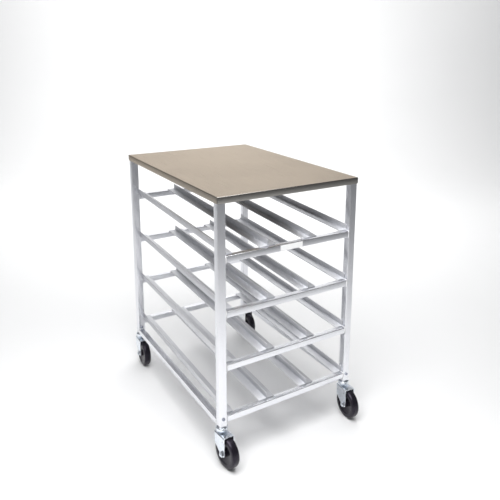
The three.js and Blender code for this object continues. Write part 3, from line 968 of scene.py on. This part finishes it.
def caster_axle(prefix, place, body):
    """The axle bolt with its head on the right leg, and its nut on the left one."""
    leg_face = FORK_HALF_WIDTH + GAP
    nut_face = leg_face + AXLE_NUT_HEIGHT
    right_leg = Matrix.Translation((leg_face, 0, 0))
    left_leg = Matrix.Translation((-leg_face, 0, 0))
    head = moved(hex_head(AXLE_HEAD_ACROSS, AXLE_HEAD_HEIGHT), right_leg @ TO_RIGHT)
    shank = moved(cylinder(AXLE_RADIUS, 0, leg_face + nut_face, steps=40), right_leg @ TO_LEFT)
    tip = moved(threaded_end(AXLE_RADIUS, AXLE_END), Matrix.Translation((-nut_face, 0, 0)) @ TO_LEFT)
    axle = moved(joined(head, shank, tip), place)
    piece(f"{prefix}_axle_bolt", axle, ZINC, body, [f"{prefix}_axle"], sharp=30)
    nut = moved(hex_head(AXLE_HEAD_ACROSS, AXLE_NUT_HEIGHT), place @ left_leg @ TO_LEFT)
    piece(f"{prefix}_axle_lock_nut", nut, ZINC, body, [f"{prefix}_axle_nut"], sharp=30)


def stem_bolt(prefix, post_front):
    """The bolt through the front of the post into the stem. Only its head shows."""
    low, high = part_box(f"{prefix}_stem_bolt")
    centre = (low + high) / 2
    head_height = post_front - low.y - GAP
    shank_length = high.y - low.y - head_height
    shank = cylinder(STEM_BOLT_RADIUS, -shank_length, SHANK_OVERLAP, steps=24)
    place = Matrix.Translation((centre.x, low.y + head_height, centre.z)) @ TO_FRONT
    bolt = moved(joined(hex_head(STEM_BOLT_ACROSS, head_height), shank), place)
    node = f"{prefix}_stem_bolt"
    piece(f"{node}_head", bolt, BOLT_STEEL, "root", [node], sharp=30)


def caster(corner_name):
    """One caster under its post, turned as its joints say."""
    prefix = f"caster_{corner_name}"
    swivel = JOINTS[f"{corner_name}_swivel_turn"]
    roll = JOINTS[f"{corner_name}_wheel_roll"]
    turn = Matrix.Rotation(math.atan2(roll["axis"][1], roll["axis"][0]), 4, "Z")
    place = Matrix.Translation((swivel["pos_m"][0], swivel["pos_m"][1], 0)) @ turn
    axle_place = Matrix.Translation(roll["pos_m"]) @ turn
    trail = math.dist(swivel["pos_m"][:2], roll["pos_m"][:2])
    axle_z = roll["pos_m"][2]
    post_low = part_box(f"post_{corner_name}")[0]

    caster_stem(prefix, place, post_low.z)
    caster_fork(prefix, place, swivel["child"], axle_z, trail)
    caster_wheel(prefix, axle_place, roll["child"], axle_z)
    caster_axle(prefix, axle_place, swivel["child"])
    stem_bolt(prefix, post_low.y)


for corner_name in CORNERS:
    caster(corner_name)

# ---------------------------------------------------------------- floor, light and camera


def floor():
    """A pale studio floor that sweeps up into a backdrop far behind the rack."""
    nodes = Nodes("studio_floor")
    clouds = nodes.noise(0.8, detail=2.0)
    colour = nodes.patches(clouds, rgb(0.94, 0.94, 0.94), rgb(0.92, 0.92, 0.92))
    roughness = nodes.ranged(clouds, 0.3, 0.7, 0.7, 0.8)
    material = nodes.finish(colour, roughness, nodes.bump(clouds, 0.05, 1.0 * MM))
    half_width, front, back, height, sweep = 9.0, -7.0, 4.0, 5.0, 2.5
    turn = math.radians(-30)
    sweep_steps = 16
    profile = [(front, 0.0), (back, 0.0)]
    for k in range(1, sweep_steps + 1):
        angle = k / sweep_steps * math.pi / 2
        profile.append((back + sweep * math.sin(angle), sweep * (1 - math.cos(angle))))
    profile.append((back + sweep, height))
    verts = [(x, y, z) for y, z in profile for x in (-half_width, half_width)]
    faces = [(2 * i, 2 * i + 1, 2 * i + 3, 2 * i + 2) for i in range(len(profile) - 1)]
    mesh = bpy.data.meshes.new("studio_floor")
    mesh.from_pydata(verts, [], faces)
    mesh.shade_smooth()
    mesh.materials.append(material)
    made = linked(bpy.data.objects.new("studio_floor", mesh))
    made.rotation_euler.z = turn


def area_light(name, place, target, size, watts):
    """A soft rectangular lamp that points at a target."""
    data = bpy.data.lights.new(name, "AREA")
    data.shape = "RECTANGLE"
    data.size, data.size_y = size
    data.energy = watts
    lamp = linked(bpy.data.objects.new(name, data))
    lamp.location = place
    lamp.rotation_euler = (Vector(target) - Vector(place)).to_track_quat("-Z", "Y").to_euler()


def light():
    """A lamp over the rack, one over the floor behind it and one that washes the backdrop."""
    world = bpy.data.worlds.new("studio")
    world.use_nodes = True
    background = world.node_tree.nodes["Background"]
    background.inputs["Color"].default_value = rgb(0.95, 0.97, 1.0)
    background.inputs["Strength"].default_value = 0.17
    bpy.context.scene.world = world
    area_light("overhead", place=(-0.5, -0.7, 1.95), target=(-0.35, -0.4, 0), size=(1.7, 1.7), watts=56)
    area_light("floor_light", place=(1.0, 1.8, 3.6), target=(1.0, 1.8, 0), size=(3.0, 3.0), watts=55)
    area_light("backdrop_light", place=(0.8, 2.4, 4.2), target=(3.2, 5.6, 1.6), size=(6.0, 3.0), watts=240)


def camera():
    """The camera stands in front, to the left, a little above the top, and looks down on the rack."""
    place = Matrix.Translation((-1.1982, -2.1648, 1.582))
    yaw, down, roll = math.radians(33.47), math.radians(13.01), math.radians(0.84)
    aim = Matrix.Rotation(-yaw, 4, "Z") @ Matrix.Rotation(math.pi / 2 - down, 4, "X")
    data = bpy.data.cameras.new("camera")
    data.sensor_width = 36.0
    data.lens = 42.0
    data.shift_x, data.shift_y = -0.065, -0.1406
    made = linked(bpy.data.objects.new("camera", data))
    made.matrix_world = place @ aim @ Matrix.Rotation(roll, 4, "Z")
    bpy.context.scene.camera = made


floor()
light()
camera()
bpy.context.scene.view_settings.view_transform = "Standard"
